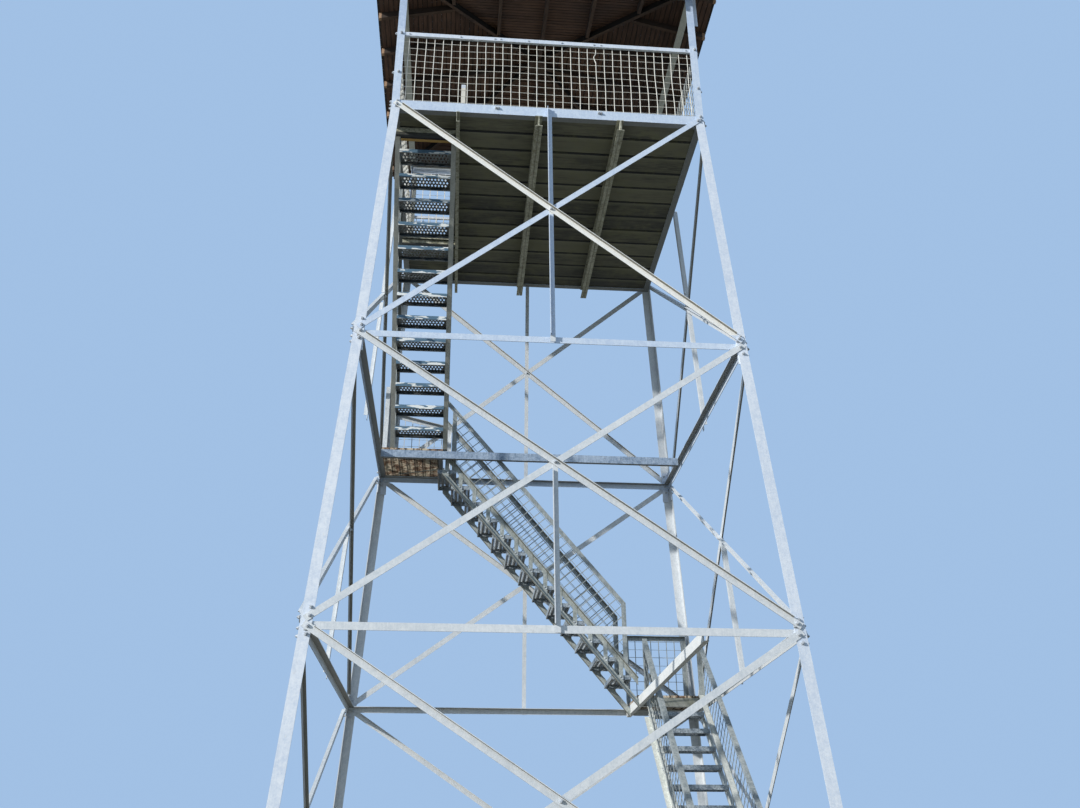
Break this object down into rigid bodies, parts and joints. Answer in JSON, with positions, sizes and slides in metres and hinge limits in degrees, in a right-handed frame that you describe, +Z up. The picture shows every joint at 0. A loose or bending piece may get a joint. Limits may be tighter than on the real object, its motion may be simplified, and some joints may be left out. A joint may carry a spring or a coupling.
{
  "type": "steel fire lookout tower",
  "caption": "Open braced steel lookout tower with battered angle legs, a stair in three flights with landings, and a mesh-guarded platform under a low hipped roof.",
  "frame": {"origin": "centre of the base, on the ground", "axes": "+Z up, front of the tower toward -Y, +X to the right seen from the front"},
  "size_m": [4.9, 4.9, 11.8338],
  "materials": {
    "galvanised_steel": "galvanised, pale blue-grey with zinc spangle",
    "weathered_steel": "galvanised, weathered to a dull olive grey",
    "tread_steel": "galvanised, perforated, dull",
    "rusty_grating": "rusty",
    "deck_timber": "weathered, rough",
    "roof_timber": "dark brown stain, rough",
    "roof_boards": "dark brown stain, rough",
    "shingles": "weathered wooden shingles"
  },
  "bodies": {
    "root": {"base_plates": "galvanised_steel", "leg_front_left": "galvanised_steel", "leg_front_right": "galvanised_steel", "leg_back_right": "galvanised_steel", "leg_back_left": "galvanised_steel", "leg_splices": "galvanised_steel", "struts_level_1": "galvanised_steel", "struts_level_2": "galvanised_steel", "platform_edge_beams": "galvanised_steel", "bracing_front": "galvanised_steel", "bracing_right": "galvanised_steel", "bracing_back": "galvanised_steel", "bracing_left": "galvanised_steel", "platform_joists": "weathered_steel", "hatch_frame": "weathered_steel", "platform_deck": "deck_timber", "guard_front": "galvanised_steel", "guard_right": "galvanised_steel", "guard_back": "galvanised_steel", "guard_left": "galvanised_steel", "hatch_guard": "galvanised_steel", "roof_posts": "galvanised_steel", "roof_plates": "galvanised_steel", "hip_rafters": "roof_timber", "rafters": "roof_timber", "king_block": "roof_timber", "roof_boards": "roof_boards", "roof_covering": "shingles", "upper_stringers": "galvanised_steel", "upper_treads": "tread_steel", "upper_handrails": "galvanised_steel", "landing_2_frame": "galvanised_steel", "landing_2_deck": "rusty_grating", "landing_2_guard": "galvanised_steel", "middle_stringers": "galvanised_steel", "middle_treads": "tread_steel", "middle_handrails": "galvanised_steel", "landing_1_frame": "galvanised_steel", "landing_1_deck": "rusty_grating", "landing_1_guard": "galvanised_steel", "lower_stringers": "galvanised_steel", "lower_treads": "tread_steel", "lower_handrails": "galvanised_steel"}
  },
  "joints": []
}
